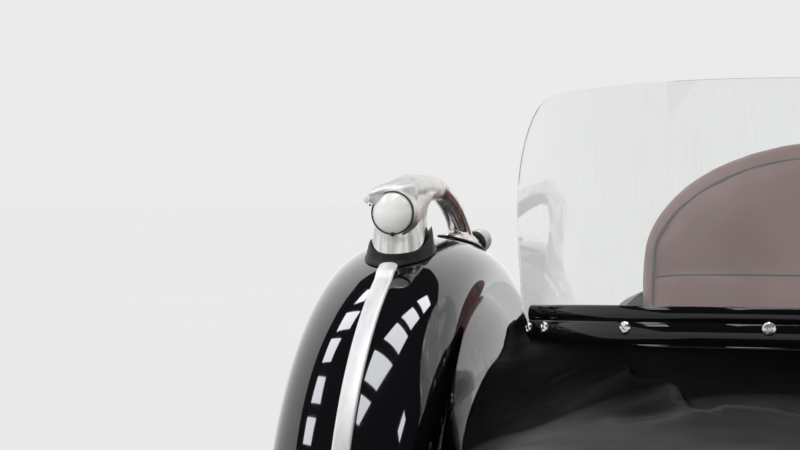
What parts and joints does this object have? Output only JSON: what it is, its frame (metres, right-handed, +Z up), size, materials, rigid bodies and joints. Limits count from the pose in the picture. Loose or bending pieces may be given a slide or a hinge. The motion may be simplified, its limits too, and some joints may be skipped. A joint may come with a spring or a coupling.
{
  "type": "motorcycle sidecar",
  "caption": "Vintage touring sidecar with a bowed windscreen, soft apron, arched seat, boot, tube chassis and one sprung spoked wheel under a mudguard with a lamp handle.",
  "frame": {"origin": "centre of the lower rear coupling eye, which the motorcycle holds", "axes": "+X towards the motorcycle, +Y towards the tail, +Z up"},
  "size_m": [1.077, 2.072, 0.8499],
  "materials": {
    "tyre": "matte",
    "wheel_metal": "polished",
    "hub_metal": "satin",
    "black_paint": "gloss",
    "frame_paint": "gloss",
    "cast_metal": "polished",
    "strip_metal": "satin",
    "rubber": "matte",
    "bezel_metal": "gloss",
    "opal": "gloss",
    "axle_steel": "satin",
    "hinge_metal": "polished",
    "trim_rubber": "satin",
    "board": "varnished",
    "seat_cover": "satin",
    "apron_cloth": "satin",
    "clear_screen": "gloss",
    "rail_metal": "gloss"
  },
  "bodies": {
    "sidecar": {"mudguard": "black_paint", "body_shell": "black_paint", "frame_rail_left": "frame_paint", "frame_rail_right": "frame_paint", "frame_bow": "frame_paint", "cross_tubes": "frame_paint", "spring_housing": "frame_paint", "swing_arm": "frame_paint", "lower_arm_front": "frame_paint", "lower_arm_rear": "frame_paint", "upper_lugs": "frame_paint", "guard_stays": "frame_paint", "brake_plate": "frame_paint", "handle_casting": "cast_metal", "strip_front": "strip_metal", "strip_rear": "strip_metal", "rubber_front": "rubber", "rubber_rear": "rubber", "body_mounts": "rubber", "lamp_bezel": "bezel_metal", "front_lens": "opal", "side_lens": "opal", "rear_lens": "opal", "axle": "axle_steel", "hinge_fixed": "hinge_metal", "cockpit_trim": "trim_rubber", "floor_board": "board", "bulkhead": "board", "seat_base": "board", "seat_cushion": "seat_cover", "seat_back": "seat_cover", "apron": "apron_cloth", "windscreen": "clear_screen", "screen_rail": "rail_metal", "screen_bow": "rail_metal", "screen_pillars": "rail_metal"},
    "wheel": {"tyre": "tyre", "rim": "wheel_metal", "hub": "hub_metal", "spokes": "wheel_metal", "hub_cap": "hub_metal"},
    "boot_lid": {"boot_lid": "black_paint", "hinge_moving": "hinge_metal", "lid_handle": "hinge_metal"}
  },
  "joints": [
    {"name": "wheel_spin", "type": "hinge", "parent": "sidecar", "child": "wheel", "pos_m": [-0.97, -0.25, 0.088], "axis": [1, 0, 0], "continuous": true},
    {"name": "boot_lid_hinge", "type": "hinge", "parent": "sidecar", "child": "boot_lid", "pos_m": [-0.545, 0.204, 0.38413], "axis": [1, 0, 0], "range_deg": [0, 75]}
  ]
}
